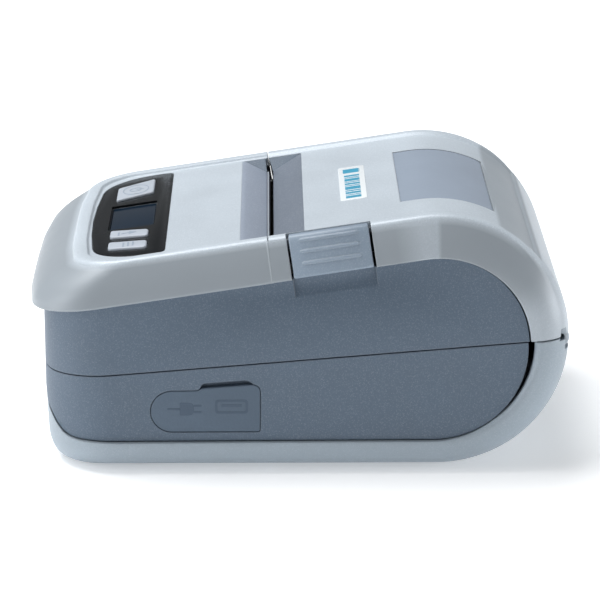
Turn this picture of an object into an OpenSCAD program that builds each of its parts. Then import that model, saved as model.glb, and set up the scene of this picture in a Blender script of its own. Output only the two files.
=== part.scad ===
// Portable receipt printer with a hinged lid over a drop-in paper bay.
// Front (control panel) faces -Y, the round paper end is at +Y, the bottom rests on Z = 0.

/* [Body] */
// Overall width across the grey band
body_w = 88; // [86:1:90]
// Height of the round end above the table
body_h = 60; // [60:0.5:61]
// Rearmost point of the round end
rear_y = 61.5; // [61:0.5:62]
// Foremost point of the dark body
front_y = -58.6; // [-60:0.2:-58]
// Slope of the top face, in degrees
slope = 8.6; // [8:0.1:9]
// Wall thickness of the shells
wall = 2; // [1.8:0.1:2.2]
// How far the rubber feet stand out
foot_h = 0.4; // [0.3:0.1:0.6]

/* [Lid] */
// Height of the grey side band
band_h = 9.1; // [8.5:0.1:9.5]
// How far the band leans out below the rim
band_lean = 4; // [3:0.1:4.5]
// Gap between moving shells
gap = 0.3; // [0.25:0.05:0.4]
// Radius of the lid hinge pin
hinge_pin_r = 1; // [0.8:0.1:1.1]

/* [Paper] */
// Width of the paper roll
paper_w = 58; // [56:1:58]
// Radius of the paper bay
bay_r = 26; // [25:0.5:26]

/* [Drive] */
// Gear module
gear_m = 0.5; // [0.5]
// Teeth on the platen gear
platen_teeth = 24; // [24]
// Teeth on the upper idler
idler_a_teeth = 28; // [28]
// Teeth on the lower idler
idler_b_teeth = 20; // [20]
// Teeth on the motor pinion
pinion_teeth = 12; // [12]
// Radius of the platen rubber
platen_r = 5; // [4.8:0.1:5]

/* [Controls] */
// Travel of each button
button_travel = 0.6; // [0.4:0.1:0.7]

/* [Hidden] */
$fn = 48;

half_w = body_w / 2;
roll_r = (body_h - foot_h) / 2;
roll_y = rear_y - roll_r;
roll_z = foot_h + roll_r;
rim_x = half_w - band_lean;
cheek_x = half_w - 1.5;
band_r = roll_r - band_h;
hinge_y = rear_y - 2.3;
hinge_z = 31;
barrel_r = 2.2;
relief_x = 39.5;
run = 34;
seam_slope = 0.081;
seam_0 = 26.78;
platen_y = -0.8;
platen_z = 43.5;
head_y = -9.5;
head_z = 34.5;
gear_x0 = -38.7;
gear_x1 = -36.5;
plate_x = 34.6;
screw_xy = [[30.5, -46], [-30.5, -46], [32.5, 0.5], [-32.5, 0.5]];
board_xy = [[22, -39], [37, -39], [22, -6], [37, -6]];
foot_xy = [[32, -36], [-32, -36], [28, 26], [-28, 26]];
window_x = 22.8;
button_gap = 1.5;
latch_y0 = -29.9;
latch_y1 = -11.4;
latch_x = 39.4;
latch_z = roll_r - 1.5;

function arc(c, r, a0, a1, n) =
    [for (i = [0:n]) c + r * [cos(a0 + (a1 - a0) * i / n), sin(a0 + (a1 - a0) * i / n)]];
function flip(pts) = [for (i = [len(pts) - 1:-1:0]) [-pts[i].x, pts[i].y]];
function both_sides(pts) = concat(pts, flip(pts));
function seam_z(y) = seam_0 + seam_slope * y;
// Side-plane place of a point given in the frame of the sloping top
function sloped(y, z) = [roll_y, roll_z] + [y * cos(slope) - z * sin(slope), y * sin(slope) + z * cos(slope)];
function toward(from, to) = atan2(to.y - from.y, to.x - from.x);

// Plan outline that is open towards +Y: straight sides, round front corners, bowed front
function plan(x, front, r, bow, rear) =
    let (cy = front + bow + r)
    both_sides(concat([[x, rear]], arc([x - r, cy], r, 0, -78, 8),
        [[x * 0.3, front + bow * 0.2], [0, front]]));

// Draws in the side plane, with 2-D x along Y and 2-D y along Z, between two X values
module yz(x0, x1) translate([x0, 0, 0]) rotate([90, 0, 90]) linear_extrude(x1 - x0) children();
// A box between two corners
module block(a, b) translate(a) cube(b - a);
// A rod along X
module rod_x(y, z, r, x0, x1) translate([x0, y, z]) rotate([0, 90, 0]) cylinder(r = r, h = x1 - x0);
// The frame of the sloping top face: y runs up the slope, z is the height above the roll axis
module sloping() translate([0, roll_y, roll_z]) rotate([slope, 0, 0]) children();
// Sweeps a section, 2-D x as radius and 2-D y as X, round the roll axis; 0 is down and 90 is the rear
module roll_sweep(a0, a1)
    translate([0, roll_y, roll_z]) rotate([0, 90, 0]) rotate([0, 0, a0])
        rotate_extrude(angle = a1 - a0, $fn = 96) children();
// Continues such a section along the top slope, or along the bottom
module top_run(length)
    translate([0, roll_y, roll_z]) rotate([0, 90, 0]) rotate([0, 0, 180 + slope])
        translate([0, length, 0]) rotate([90, 0, 0]) linear_extrude(length) children();
module bottom_run(length)
    translate([0, roll_y, roll_z]) rotate([0, 90, 0]) rotate([90, 0, 0]) linear_extrude(length) children();

// The dark side wall: a plan-shaped ring, open at the rear
module side_wall(z0, z1)
    translate([0, 0, z0]) linear_extrude(z1 - z0) difference() {
        polygon(plan(cheek_x, front_y, 16, 1, 56));
        polygon(plan(cheek_x - wall, front_y + wall, 14, 1, 57));
    }
// Front edge of the light base where it climbs the front
function trim_line() = [[-62, 14], [-57.5, 13.8], [-56, 12], [-53.5, 8.8], [-50, 7.7]];

module gear(teeth, phase, bore_r) {
    rp = teeth * gear_m / 2;
    pitch = 360 / teeth;
    difference() {
        rod_x(0, 0, rp - 0.6 * gear_m - 0.1, gear_x0, gear_x1);
        rod_x(0, 0, bore_r, gear_x0 - 1, gear_x1 + 1);
    }
    difference() {
        yz(gear_x0, gear_x1) polygon([for (i = [0:teeth - 1])
            for (k = [[-0.28, -1.15], [-0.08, 0.7], [0.08, 0.7], [0.28, -1.15]])
                let (a = phase + pitch * (i + k[0])) (rp + k[1] * gear_m) * [cos(a), sin(a)]]);
        rod_x(0, 0, rp - 1.4, gear_x0 - 1, gear_x1 + 1);
    }
}

// A helical spring along Z: one swept tube
module spring(r, wire, height, turns, sides = 6, steps = 14) {
    n = turns * steps;
    rings = [for (i = [0:n]) let (a = 360 * i / steps)
        [for (j = [0:sides - 1]) let (b = 360 * j / sides, q = r + wire * cos(b))
            [q * cos(a), q * sin(a), height * i / n + wire * sin(b)]]];
    polyhedron(
        points = [for (ring = rings) for (p = ring) p],
        faces = concat([[for (j = [sides - 1:-1:0]) j]], [[for (j = [0:sides - 1]) n * sides + j]],
            [for (i = [0:n - 1]) for (j = [0:sides - 1]) let (k = (j + 1) % sides)
                [i * sides + j, i * sides + k, (i + 1) * sides + k]],
            [for (i = [0:n - 1]) for (j = [0:sides - 1]) let (k = (j + 1) % sides)
                [i * sides + j, (i + 1) * sides + k, (i + 1) * sides + j]]));
}

// ---- Base ----

// Half of the light base's section, as radius and X
function base_half() = [[roll_r, 0], [roll_r, 36], [roll_r - 0.8, 39.6], [roll_r - 2.9, 42.3],
    [roll_r - 6, 43.5], [roll_r - 7.6, 43.5], [roll_r - 8.2, 42.5], [roll_r - 8.2, 40.5], [roll_r - 6, 40.6],
    [roll_r - 3.6, 39.8], [roll_r - 2.4, 37.6], [roll_r - wall, 35.5], [roll_r - wall, 0]];
// Completes a half section by reflecting it in X = 0
function whole(half) = concat(half, [for (i = [len(half) - 1:-1:0]) [half[i].x, -half[i].y]]);
module base_section() polygon(whole(base_half()));
module base_filled()
    polygon(whole(concat([for (i = [0:5]) base_half()[i]], [[roll_r - 16, 43.5], [roll_r - 16, 0]])));

// Room for the lid's hinge barrels and the skin above them, between two X values
module hinge_relief(r, x0, x1) {
    rod_x(hinge_y, hinge_z, r, x0, x1);
    block([x0, hinge_y, hinge_z - r], [x1, rear_y + 1, hinge_z + 3]);
}

module base_shell() color([0.52, 0.56, 0.60]) {
    difference() {
        union() {
            intersection() {
                union() {
                    roll_sweep(-0.5, 92.6) base_section();
                    bottom_run(roll_y - front_y + 3) base_section();
                }
                translate([0, 0, -1]) linear_extrude(body_h) polygon(plan(43.6, front_y + 0.3, 16, 1, 70));
                yz(-50, 50) polygon([[-62, 10], [-57.9, 6], [-57, 3.4], [-55, foot_h], [70, foot_h],
                    [70, 60], [-62, 60]]);
            }
            // The front wall, which climbs towards the middle of the front
            intersection() {
                translate([0, 0, foot_h + 1]) linear_extrude(13.6) difference() {
                    polygon(plan(43.5, front_y + 0.3, 16, 1, -30));
                    polygon(plan(cheek_x - wall, front_y + wall + 0.3, 14, 1, -29));
                }
                bottom_run(roll_y - front_y + 3) base_filled();
                yz(-50, 50) polygon([[-62, 10], [-57.9, 6], [-57, 3.4], [-55.4, 1.4], [-28, 1.4], [-28, 7.4],
                    [-50, 7.4], [-53.8, 8.6], [-56.3, 11.8], [-57.5, 13.5], [-62, 13.8]]);
            }
            for (p = screw_xy) translate([p.x, p.y, 1.4]) cylinder(r = 3.2, h = 8.6);
            for (p = board_xy) translate([p.x, p.y, 1.4]) cylinder(r = 1.9, h = 6.8);
            for (x = [-21.7, 7.3]) difference() {
                union() {
                    rod_x(hinge_y, hinge_z, barrel_r, x, x + 14.4);
                    block([x, hinge_y - barrel_r + 0.1, 25], [x + 14.4, hinge_y, hinge_z]);
                }
                rod_x(hinge_y, hinge_z, hinge_pin_r, x - 1, x + 16);
            }
        }
        for (x = [[-relief_x, -22], [-7, 7], [22, relief_x]]) hinge_relief(2.6, x[0], x[1]);
        for (x = [-50, relief_x - 0.1]) block([x, hinge_y - 0.2, hinge_z - 0.15], [x + 10.6, rear_y + 1, hinge_z + 3]);
        for (x = [-22, 7]) block([x, hinge_y + 0.01, hinge_z + 0.3], [x + 15, rear_y + 1, hinge_z + 3]);
        for (p = screw_xy) translate([p.x, p.y, 0]) {
            cylinder(r = 1.45, h = 12);
            cylinder(r = 3, h = 3);
        }
        for (p = foot_xy) translate([p.x, p.y, 0]) cylinder(r = 3.6, h = 1);
        block([-27.8, -51.8, 0], [17.8, -8.2, 4]);
        rod_x(hinge_y, hinge_z, hinge_pin_r, -33.6, 33.6);
        for (x = [-50, relief_x + 0.7]) yz(x, x + 9.8) polygon(concat([[-62, 13.8], [-57.5, 13.5],
            [-56.3, 11.8], [-53.8, 8.6], [-50, 7.5]], arc([roll_y - 1, roll_z - 1], 21.45, -90, 5, 14),
            [[52, 60], [-62, 60]]));
    }
}

module lower_body() color([0.30, 0.36, 0.42]) difference() {
    intersection() {
        side_wall(5, 36);
        yz(-50, 50) polygon(concat(trim_line(), arc([roll_y - 1, roll_z - 1], 21.2, -90, 5, 14),
            [[51.6, seam_z(51.6) - 0.1], [-62, seam_z(-62) - 0.1]]));
    }
    yz(cheek_x - 1.4, cheek_x + 1) offset(delta = gap) flap_outline();
    yz(cheek_x - wall - 1, cheek_x) flap_ledge();
}

module upper_body() color([0.33, 0.39, 0.45]) difference() {
    intersection() {
        side_wall(18, 56);
        yz(-50, 50) polygon(concat([[-62, seam_z(-62) + 0.05], [51.5, seam_z(51.5) + 0.05]],
            arc([roll_y, roll_z], band_r - gap, 3.2, 90 + slope, 14), [sloped(-96, band_r - gap)]));
    }
    sloping() translate([cheek_x + 5, 0, band_r - 1.5]) rotate([90, 0, 0])
        translate([0, 0, 11.4]) cylinder(r = 6, h = 18.6);
}

// ---- Front cover ----

// A slab of the cover's outline at one height above the roll axis
module cover_slab(x, front, r, z, t)
    translate([0, 0, z]) linear_extrude(t) polygon(plan(x, front, r, 1, -34.1));

module cover_hull(inset, drop) hull() {
    cover_slab(rim_x - inset, -79.4 + inset, 12 - inset, roll_r - drop - 0.1, 0.1);
    cover_slab(rim_x + 0.9 - inset, -84 + inset, 13 - inset, roll_r - 2 - drop * 0.8, 0.1);
    cover_slab(rim_x + 2.2 - inset, -88.2 + inset, 14 - inset, roll_r - 5.2 - drop * 0.4, 0.1);
    cover_slab(half_w - 0.2 - inset, -90.9 + inset, 15.5 - inset, band_r - gap - (inset > 0 ? 0.5 : 0), 0.5);
}

function panel_outline() = both_sides([[35.3, -57.8], [35.3, -63.7], [34.6, -66.8], [33, -69.8], [31, -72],
    [28.5, -73.7], [25, -74.7], [12, -75.6], [0, -75.9]]);
// Button faces: front-left, front-right, rear-right and rear-left corners
power_pts = [[-25.4, -71.1], [-14.2, -71.1], [-17.6, -62.1], [-29.7, -62.1]];
feed_pts = [[12.9, -71.1], [18.4, -71.1], [20.8, -62.1], [15.6, -62.1]];
menu_pts = [[22.6, -71.1], [27.9, -71.1], [30.5, -62.1], [25.0, -62.1]];
panel_z = roll_r - 0.7;

module panel_holes(z0, z1, grow) translate([0, 0, z0]) linear_extrude(z1 - z0) {
    for (pts = [power_pts, feed_pts, menu_pts]) offset(delta = grow) polygon(pts);
    polygon([[-10.5, -71.8], [10.5, -71.8], [10.5, -61.2], [-10.5, -61.2]]);
}

module front_cover() color([0.76, 0.80, 0.83]) sloping() {
    difference() {
        cover_hull(0, 0);
        difference() {
            cover_hull(wall, wall);
            for (x = [-33, 33]) translate([x, -59.5, 24.2]) cylinder(r = 2.2, h = 6);
            for (x = [-24, 24]) translate([x, -75, 24.2]) cylinder(r = 2.2, h = 6);
        }
        translate([0, 0, -1]) cover_slab(rim_x - wall, -70, 12, band_r - gap, 4.4);
        cover_slab(rim_x - 2.4, -77, 10, panel_z, 2);
        translate([0, 0, panel_z - 0.5]) linear_extrude(2) polygon(panel_outline());
        panel_holes(20, 32, gap);
        block([-35.8, -40, 20], [35.8, -30, 32]);
    }
    // Band beside the latch
    intersection() {
        block([rim_x + 0.6, -34.1, 15], [50, latch_y0 - gap, roll_r - 0.8]);
        translate([0, -34.1, 0]) rotate([90, 0, 0]) translate([0, 0, -5]) linear_extrude(5)
            polygon([[rim_x, roll_r], [half_w - 0.2, band_r], [half_w - 0.4, band_r - gap],
                [half_w - 2.3, band_r - gap], [rim_x - 1.4, roll_r - 2]]);
    }
}

module exit_guide() color([0.58, 0.62, 0.67]) sloping()
    yz(-35.6, 35.6) polygon([[-40, 29.2], [-34.8, 26.4], [-34.8, 25.3], [-40, 27.9]]);

module tear_bar() color([0.80, 0.83, 0.86]) sloping() translate([0, -34.75, 0]) rotate([90, 0, 0])
    translate([0, 0, -0.4]) linear_extrude(0.4)
        polygon(concat([[31, 24.6], [-31, 24.6]], [for (i = [0:62]) [-31 + i, 26.6 + 0.5 * (i % 2)]]));

module panel_overlay() color([0.12, 0.15, 0.17]) sloping() difference() {
    translate([0, 0, panel_z - 0.5]) linear_extrude(0.6) polygon(panel_outline());
    panel_holes(27, 31, gap);
}

module display_lens() color([0.10, 0.18, 0.24]) sloping() block([-10.4, -71.7, 27.9], [10.4, -61.3, 28.8]);

module display_module() color([0.06, 0.09, 0.12]) sloping() {
    block([-10.3, -71.6, 25.4], [10.3, -61.4, 26.9]);
    block([-9.5, -62.8, 24.2], [9.5, -61.6, 25.4]);
    block([-9.5, -71.4, 24.2], [9.5, -70.2, 25.4]);
}

// A button cap, with a stem down to its switch
module button(pts) sloping() {
    translate([0, 0, 27.6]) linear_extrude(roll_r - 27.6 - 0.1) polygon(pts);
    translate([(pts[0].x + pts[2].x) / 2, -66.6, 25.7 + button_gap]) cylinder(r = 1.2, h = 1);
}
module power_button() color([0.74, 0.77, 0.80]) button(power_pts);
module feed_button() color([0.74, 0.77, 0.80]) button(feed_pts);
module menu_button() color([0.74, 0.77, 0.80]) button(menu_pts);

module ui_board() color([0.10, 0.35, 0.22]) sloping() difference() {
    block([-35, -77.5, 22.8], [35, -57.5, 24.2]);
    for (x = [-33, 33]) translate([x, -59.5, 20]) cylinder(r = 1, h = 10);
    for (x = [-24, 24]) translate([x, -75, 20]) cylinder(r = 1, h = 10);
}

module tact_switches() color([0.15, 0.15, 0.16]) sloping()
    for (pts = [power_pts, feed_pts, menu_pts]) translate([(pts[0].x + pts[2].x) / 2, -66.6, 24.2]) {
        block([-2.2, -2.2, 0], [2.2, 2.2, 1.5]);
        translate([0, 0, 1.5]) cylinder(r = 1, h = button_gap - button_travel);
    }

// ---- Mechanism ----

module mid_frame() color([0.22, 0.24, 0.26]) {
    difference() {
        union() {
            block([-36, -53, 23.2], [36, 4, 24.7]);
            for (p = screw_xy) translate([p.x, p.y, 10]) cylinder(r = 3.2, h = 14);
            for (x = [-36, 33.6]) block([x, -53, 18], [x + 2.4, 4, 23.5]);
        }
        for (p = screw_xy) translate([p.x, p.y, 9]) cylinder(r = 1.25, h = 11.5);
        block([-12, -14.9, 20], [12, -4, 30]);
        block([33, -30.2, 17], [37, -20, 20.2]);
        for (x = [-36, 36]) translate([x, -53, 20]) rotate([0, 0, 45]) cube([2.6, 2.6, 20], center = true);
    }
    for (x = [-31, 31], y = [-50, -35.5]) translate([x, y, 24.6]) cylinder(r = 1.9, h = 2.4);
}

gear_p = [platen_y, platen_z];
away = toward([hinge_y, hinge_z], gear_p) + 90;
gear_a = gear_p + (platen_teeth + idler_a_teeth) * gear_m / 2 * [cos(away), sin(away)];
angle_b = 163.5;
gear_b = gear_a + (idler_a_teeth + idler_b_teeth) * gear_m / 2 * [cos(angle_b), sin(angle_b)];
gear_c = gear_b + (idler_b_teeth + pinion_teeth) * gear_m / 2 * [-1, 0];
phase_a = away + 180 + 180 / idler_a_teeth;
phase_b = angle_b + 180 - (phase_a - angle_b) * idler_a_teeth / idler_b_teeth + 180 / idler_b_teeth;
phase_c = 180 + 180 - (phase_b - 180) * idler_b_teeth / pinion_teeth + 180 / pinion_teeth;

// The slot that the platen shaft lifts out of
module shaft_slot() yz(-50, 50) polygon([[platen_y - 2.6, platen_z - 2], [platen_y, platen_z - 2.8],
    [platen_y + 2.6, platen_z - 2], [platen_y + 6.2, 56], [platen_y - 0.4, 56]]);

module mechanism_frame() color([0.66, 0.68, 0.70]) difference() {
    union() {
        yz(plate_x, plate_x + 1) polygon([[-16, 24.7], [5, 24.7], [5, 48.2], [-9, 48.2], [-16, 44]]);
        yz(-plate_x - 1, -plate_x) polygon([[-33, 26.5], [-30, 24.7], [5, 24.7], [5, 48.2], [-9, 48.2],
            [-16, 44], [-33, 42.5]]);
        block([-plate_x, -16, 24.7], [plate_x, 4.5, 25.7]);
        block([-plate_x, -16, 25.7], [plate_x, -15.2, 45]);
    }
    shaft_slot();
    rod_x(head_y, head_z, 1, -40, 40);
    block([-12, -17, 24], [12, -4, 29.6]);
    rod_x(gear_c.x, gear_c.y, 2, -40, -30);
    rod_x(gear_c.x, gear_c.y, 7.8, -34, -17);
    for (g = [gear_a, gear_b]) rod_x(g.x, g.y, 1, -40, -30);
}

module head_pin() color([0.75, 0.76, 0.78]) rod_x(head_y, head_z, 1, -plate_x - 1, plate_x + 1);

module head_springs() color([0.70, 0.71, 0.73]) for (x = [-19, 0, 19])
    translate([x, -14.85, 43]) rotate([-90, 0, 0]) spring(1.9, 0.28, 2.9, 4);

module head_heatsink() color([0.62, 0.64, 0.66]) difference() {
    union() {
        block([-30, -11.2, 33], [30, -7, 47.6]);
        rod_x(head_y, head_z, 2.1, -32.5, 32.5);
    }
    rod_x(head_y, head_z, 1.05, -40, 40);
    for (i = [-7:7]) block([i * 3.8 - 0.9, -12, 38], [i * 3.8 + 0.9, -9, 50]);
}

module print_head() color([0.86, 0.84, 0.78]) {
    block([-29.5, -7, 37], [29.5, -6.3, 47.4]);
    block([-29, -6.3, 42.9], [29, -6.12, 44.1]);
    block([-28, -7, 37], [28, -6.2, 38.6]);
}

module head_cable() color([0.85, 0.55, 0.20]) yz(-9, 9) polygon([[-8.2, 30.2], [-12.6, 26.3], [-36, 28.9],
    [-36, 29.1], [-12.6, 26.6], [-8.4, 30.5]]);

module paper_guide() color([0.25, 0.27, 0.30]) yz(-30, 30)
    polygon([[5.6, 25.9], [-3.4, 36.6], [-4.4, 36.2], [3.6, 25.7], [5.6, 25.7]]);

module paper_sensor() color([0.08, 0.08, 0.09]) difference() {
    block([-5, -3.6, 25.7], [5, 1.4, 28]);
    block([-1.5, -2.6, 27.4], [1.5, 0.4, 29]);
}

module stepper_motor() color([0.60, 0.62, 0.64]) {
    rod_x(gear_c.x, gear_c.y, 7.5, -33.6, -18);
    yz(-34.6, -33.6) difference() {
        union() {
            translate(gear_c) circle(r = 6.4);
            translate(gear_c - [3, 9.2]) square([6, 18.4]);
        }
        for (s = [-1, 1]) translate(gear_c + [0, s * 8]) circle(r = 0.9);
        translate(gear_c) circle(r = 1.9);
    }
    rod_x(gear_c.x, gear_c.y, 1.9, -35.6, -33.6);
}

module motor_pinion() color([0.85, 0.80, 0.60]) {
    translate([0, gear_c.x, gear_c.y]) gear(pinion_teeth, phase_c, 0.8);
    rod_x(gear_c.x, gear_c.y, 0.8, gear_x0, -35.8);
}
module idler_gear_a() color([0.92, 0.92, 0.90])
    translate([0, gear_a.x, gear_a.y]) gear(idler_a_teeth, phase_a, 1.05);
module idler_gear_b() color([0.92, 0.92, 0.90])
    translate([0, gear_b.x, gear_b.y]) gear(idler_b_teeth, phase_b, 1.05);
module gear_pins() color([0.75, 0.76, 0.78]) for (g = [gear_a, gear_b]) rod_x(g.x, g.y, 1, -39.2, -plate_x);

module gear_cover() color([0.25, 0.27, 0.30]) difference() {
    yz(-40.1, -39.4) polygon([[-30, 26.5], [-27, 24], [4, 24], [4, 38], [-8, 41.5], [-30, 40]]);
    for (g = [gear_a, gear_b]) rod_x(g.x, g.y, 1.2, -41, -39);
}

module driver_board() color([0.10, 0.35, 0.22]) difference() {
    block([-34, -52, 27], [34, -33.5, 28.4]);
    for (x = [-31, 31], y = [-50, -35.5]) translate([x, y, 20]) cylinder(r = 1, h = 10);
    for (x = [-1, 1]) translate([x * 34, -55, 20]) rotate([0, 0, 45]) cube([6, 6, 12]);
}

module board_connectors() color([0.93, 0.92, 0.86]) {
    block([-10, -40, 28.4], [10, -36.2, 31]);
    block([-28, -47, 28.4], [-16, -43, 32]);
    block([-12, -50, 28.4], [2, -44, 29.6]);
    block([6, -50, 28.4], [13, -43, 29.8]);
}

module buzzer() color([0.07, 0.07, 0.08]) translate([25, -43, 28.4]) difference() {
    cylinder(r = 5.5, h = 4.6);
    translate([0, 0, 3]) cylinder(r = 1.2, h = 3);
}

// ---- Power and ports ----

module main_board() color([0.10, 0.35, 0.22]) difference() {
    block([19.6, -42, 8.2], [39.6, -3.4, 9.8]);
    for (p = board_xy) translate([p.x, p.y, 5]) cylinder(r = 1, h = 8);
}

module battery_cradle() color([0.22, 0.24, 0.26]) difference() {
    block([-29.3, -53, 2.4], [19.2, -6.9, 14]);
    block([-28, -51.8, 0], [18, -8.2, 20]);
    translate([-30.5, -46, 0]) cylinder(r = 3.3, h = 30);
}

module battery_pack() color([0.16, 0.18, 0.20]) {
    difference() {
        block([-26, -50, 4.2], [16, -10, 20]);
        for (y = [-50.5, -11]) block([-27, y, 2], [17, y + 1.5, 5.2]);
    }
    block([10, -10, 8], [15, -9.4, 16]);
}

module battery_contacts() color([0.85, 0.68, 0.30]) for (x = [-20, -14, -8]) {
    block([x, -9.9, 6], [x + 3, -9.5, 13]);
    block([x, -9.5, 10], [x + 3, -8.2, 10.5]);
}

module battery_door() color([0.52, 0.56, 0.60]) {
    block([-27.5, -51.5, foot_h], [17.5, -8.5, foot_h + 1.6]);
    for (y = [-16:3:-10]) block([-12, y - 0.5, foot_h + 1.6], [2, y + 0.5, foot_h + 2.1]);
}

module dc_jack() color([0.09, 0.09, 0.10]) {
    difference() {
        block([28, -29.6, 9.8], [40.2, -20.6, 19.8]);
        rod_x(-25.1, 14.8, 3.1, 31, 42);
    }
    rod_x(-25.1, 14.8, 1, 30.5, 39.6);
}

module usb_port() color([0.72, 0.73, 0.75]) {
    difference() {
        block([33, -19.6, 9.8], [40.2, -12, 16.8]);
        block([34, -19, 13.2], [42, -12.6, 16.2]);
    }
    block([33.5, -17.6, 14.4], [39.4, -14, 15]);
}

// Flap outline in the side plane: round at the front, nearly square at the rear
module flap_outline() polygon(concat(arc([-28.3, 14.8], 4.85, 90, 270, 12),
    [[-9.1, 9.95], [-8.5, 10.5], [-8.5, 18.3], [-9.1, 19.9], [-10.5, 20.4], [-21, 20]]));
module flap_ledge() translate([-30.4, 11.4]) square([19.6, 7]);

module port_flap() color([0.30, 0.36, 0.42]) {
    yz(cheek_x - 1.3, cheek_x) flap_outline();
    for (y = [-19.2, -16.8, -14.4]) block([cheek_x - 1.9, y, 12.6], [cheek_x - 1.3, y + 1, 17.4]);
}

module paper_bucket() color([0.30, 0.33, 0.36]) roll_sweep(-72, 72) {
    side = paper_w / 2 + 1;
    polygon([[bay_r + 1.2, -side - 1.2], [bay_r + 1.2, side + 1.2], [16, side + 1.2], [16, side],
        [bay_r, side], [bay_r, -side], [16, -side], [16, -side - 1.2]]);
}

module case_screws() color([0.35, 0.36, 0.38]) for (p = screw_xy) translate([p.x, p.y, 0]) {
    translate([0, 0, 3]) cylinder(r = 1.25, h = 16);
    difference() {
        translate([0, 0, 1.2]) cylinder(r = 2.6, h = 1.8);
        for (a = [0, 90]) rotate([0, 0, a]) block([-1.6, -0.35, 1], [1.6, 0.35, 2.2]);
    }
}

module feet() color([0.08, 0.08, 0.09]) for (p = foot_xy) translate([p.x, p.y, 0]) cylinder(r = 3.5, h = 1);

module hinge_pin() color([0.75, 0.76, 0.78]) rod_x(hinge_y, hinge_z, hinge_pin_r, -33.5, 33.5);

// ---- Lid ----

// Half of the lid's section, as radius and X: a sunk top, a raised rim and the leaning band
function lid_half() = [[roll_r - 0.7, 0], [roll_r - 0.7, 37], [roll_r, 38], [roll_r, rim_x],
    [roll_r - 0.6, rim_x + 0.6], [roll_r - 4.4, rim_x + 2.2], [band_r + 0.45, half_w], [band_r, half_w - 0.6],
    [band_r, half_w - 2], [roll_r - 4.6, rim_x + 0.2], [roll_r - 2.2, rim_x - 1.6],
    [roll_r - wall - 0.2, 36], [roll_r - wall - 0.2, 0]];
module lid_section() polygon(whole(lid_half()));

module lid_shell() color([0.74, 0.79, 0.82]) difference() {
    union() {
        difference() {
            union() {
                roll_sweep(93.3, 180 + slope + 0.5) lid_section();
                top_run(run) lid_section();
            }
            lid_window_strip(window_x + 0.1, roll_r - 3, roll_r + 2, 0.1);
            // Pocket for the latch, and the band that stays with the front cover
            sloping() block([latch_x - 1.8, latch_y0 - gap, 15], [50, latch_y1 + gap, 35]);
            sloping() block([rim_x + 0.3, -36, 15], [50, latch_y0, 35]);
            sloping() block([-35.8, -40, 20], [35.8, -26, 32]);
            for (x = [-22, 7]) {
                rod_x(hinge_y, hinge_z, 2.6, x, x + 15);
                block([x, hinge_y, 25], [x + 15, rear_y + 1, hinge_z + 2.6]);
            }
        }
        for (x = [[-39, -22], [-7, 7], [22, 39]]) rod_x(hinge_y, hinge_z, barrel_r, x[0] + 0.3, x[1] - 0.3);
    }
    for (x = [-50, 38.9]) block([x, hinge_y + 0.01, 25], [x + 11.1, rear_y + 1, hinge_z + 2.5]);
    rod_x(hinge_y, hinge_z, hinge_pin_r + 0.05, -33.6, 33.6);
    sloping() translate([latch_x, latch_y1 + 2, latch_z]) rotate([90, 0, 0]) cylinder(r = 0.8, h = 23);
}

// A curved strip over the paper bay, between two radii: the window and its opening
module lid_window_strip(x, r0, r1, grow) {
    // Angles of its rear and front ends round the roll axis, and its straight length at the front
    rear_a = 62.8 - grow / 0.5;
    front_a = 90 + slope;
    straight = 3.9 + grow;
    yz(-x, x) polygon(concat(
        arc([roll_y, roll_z], r1, rear_a, front_a, 12), [sloped(-straight, r1), sloped(-straight, r0)],
        arc([roll_y, roll_z], r0, front_a, rear_a, 12)));
}

module lid_window() color([0.58, 0.63, 0.69])
    lid_window_strip(window_x, roll_r - wall - 0.2, roll_r - 0.9, 0);

module lid_liner() color([0.60, 0.64, 0.68]) {
    roll_sweep(104, 172) polygon([[26.2, -32], [27.2, -32], [27.2, -31], [27.2, 31], [27.2, 32], [26.2, 32]]);
    for (x = [-32, 31]) roll_sweep(104, 172) translate([27, x]) square([roll_r - wall - 0.2 - 27, 1]);
}

module lid_label() color([0.95, 0.96, 0.97]) sloping()
    block([-15, -17.3, roll_r - 0.7], [15, -11.1, roll_r - 0.5]);

module lid_front_lip() color([0.58, 0.62, 0.67]) sloping()
    yz(-35.6, 35.6) polygon([[-26.1, 29], [-33.4, 26.4], [-33.4, 25.6], [-31, 25.2], [-26.1, 27.4]]);

module platen_carrier() color([0.25, 0.27, 0.30]) difference() {
    union() {
        for (x = [-33.6, 32]) yz(x, x + 1.6) polygon([sloped(-31, 25), sloped(-20.5, 27.6), sloped(-20.5, 20),
            sloped(-26, 13.8), sloped(-30, 13.4), sloped(-33.6, 16), sloped(-33.6, 23)]);
        yz(-32, 32) polygon([sloped(-22, 27.6), sloped(-20.5, 27.6), sloped(-20.5, 20), sloped(-22, 19.4)]);
    }
    rod_x(platen_y, platen_z, 3.4, -40, 40);
}

module platen_bushes() color([0.90, 0.88, 0.80]) for (x = [-34, 31.4]) difference() {
    rod_x(platen_y, platen_z, 3.4, x, x + 2.6);
    rod_x(platen_y, platen_z, 2.04, x - 1, x + 4);
}

module platen_shaft() color([0.75, 0.76, 0.78]) rod_x(platen_y, platen_z, 2, gear_x0 - 0.3, 36.4);

module platen_rubber() color([0.10, 0.10, 0.11]) difference() {
    rod_x(platen_y, platen_z, platen_r, -29.2, 29.2);
    rod_x(platen_y, platen_z, 2, -31, 31);
}

module platen_gear() color([0.92, 0.92, 0.90]) translate([0, platen_y, platen_z]) gear(platen_teeth, away, 2);

// ---- Latch ----

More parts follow.
